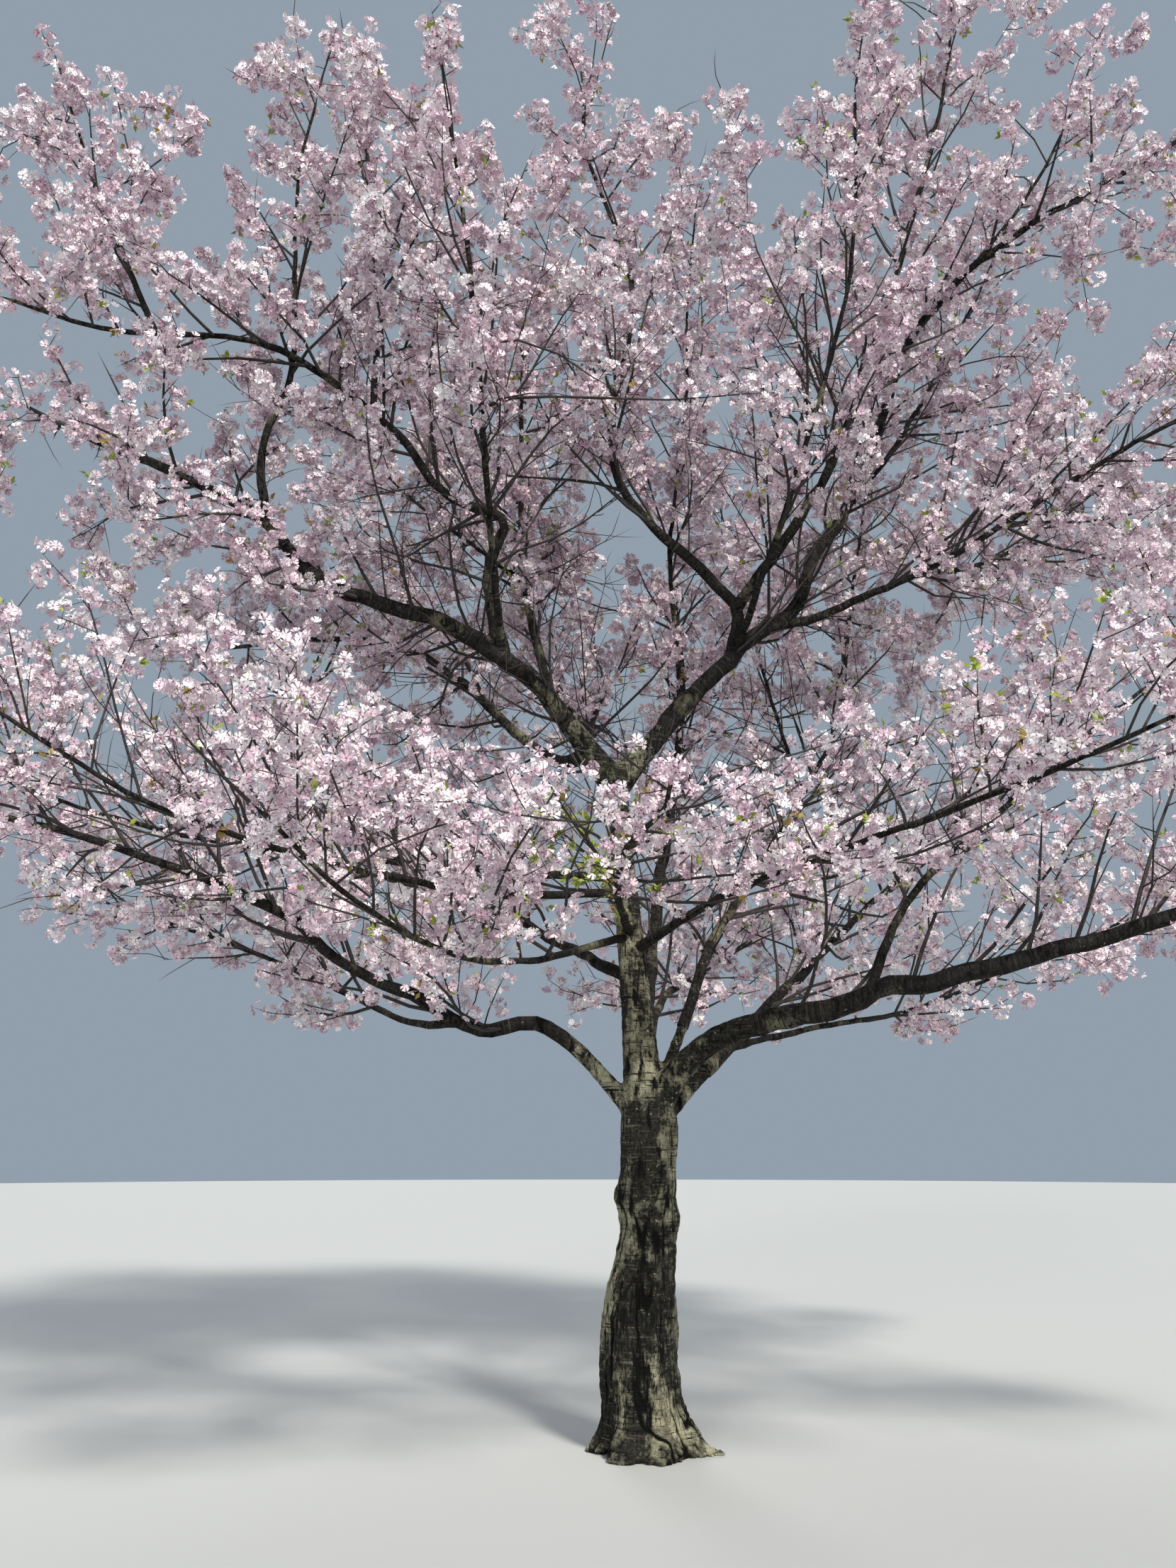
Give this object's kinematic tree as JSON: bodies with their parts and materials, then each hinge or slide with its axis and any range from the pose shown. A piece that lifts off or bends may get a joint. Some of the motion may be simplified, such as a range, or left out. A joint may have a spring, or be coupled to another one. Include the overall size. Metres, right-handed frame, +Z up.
{
  "type": "cherry tree in blossom",
  "caption": "Broad open-headed cherry tree in full pale blossom, with a short stout trunk, a low fork and long spreading boughs",
  "frame": {"origin": "the middle of the flat cut under the trunk, at ground level", "axes": "+Z up; +Y away from the side that the picture shows; +X to the right as seen from that side"},
  "size_m": [10.3992, 7.4074, 10.4144],
  "materials": {
    "trunk_bark": "rough grey-brown bark with lichen and level bands of pores",
    "bough_bark": "dark satin bark with level bands of pores",
    "blossom": "matte thin petals"
  },
  "bodies": {
    "root": {"back_left": "bough_bark", "back_low": "bough_bark", "back_right": "bough_bark", "back_right_low": "bough_bark", "back_stem": "bough_bark", "back_upright": "bough_bark", "blossom_arch_end": "blossom", "blossom_back_centre": "blossom", "blossom_back_mid": "blossom", "blossom_front_left_upper": "blossom", "blossom_front_right_upper": "blossom", "blossom_inner_right_mass": "blossom", "blossom_left_back": "blossom", "blossom_left_outer": "blossom", "blossom_mid_back_left": "blossom", "blossom_mid_left": "blossom", "blossom_mid_left_front": "blossom", "blossom_mid_right": "blossom", "blossom_mid_right_back": "blossom", "blossom_right_back": "blossom", "blossom_right_outer": "blossom", "blossom_skirt_back": "blossom", "blossom_skirt_front": "blossom", "blossom_skirt_front_left": "blossom", "blossom_skirt_front_right": "blossom", "blossom_skirt_left": "blossom", "blossom_skirt_left_back": "blossom", "blossom_skirt_right": "blossom", "blossom_skirt_right_back": "blossom", "blossom_top_back": "blossom", "blossom_top_back_left": "blossom", "blossom_top_back_right": "blossom", "blossom_top_centre": "blossom", "blossom_top_far_left": "blossom", "blossom_top_far_right": "blossom", "blossom_top_left": "blossom", "blossom_top_mid_back": "blossom", "blossom_top_right": "blossom", "blossom_top_right_back": "blossom", "centre_upright": "bough_bark", "front_centre": "bough_bark", "front_left_low": "bough_bark", "front_left_riser": "bough_bark", "front_right": "bough_bark", "front_right_riser": "bough_bark", "inner_right": "bough_bark", "leader": "bough_bark", "left_arch": "bough_bark", "left_back_arm": "bough_bark", "left_mid": "bough_bark", "left_mid_back": "bough_bark", "low_left": "bough_bark", "low_left_fork": "bough_bark", "low_right": "bough_bark", "right_arm": "bough_bark", "right_riser": "bough_bark", "right_upright": "bough_bark", "trunk": "trunk_bark", "v_left": "bough_bark", "v_right": "bough_bark"}
  },
  "joints": []
}
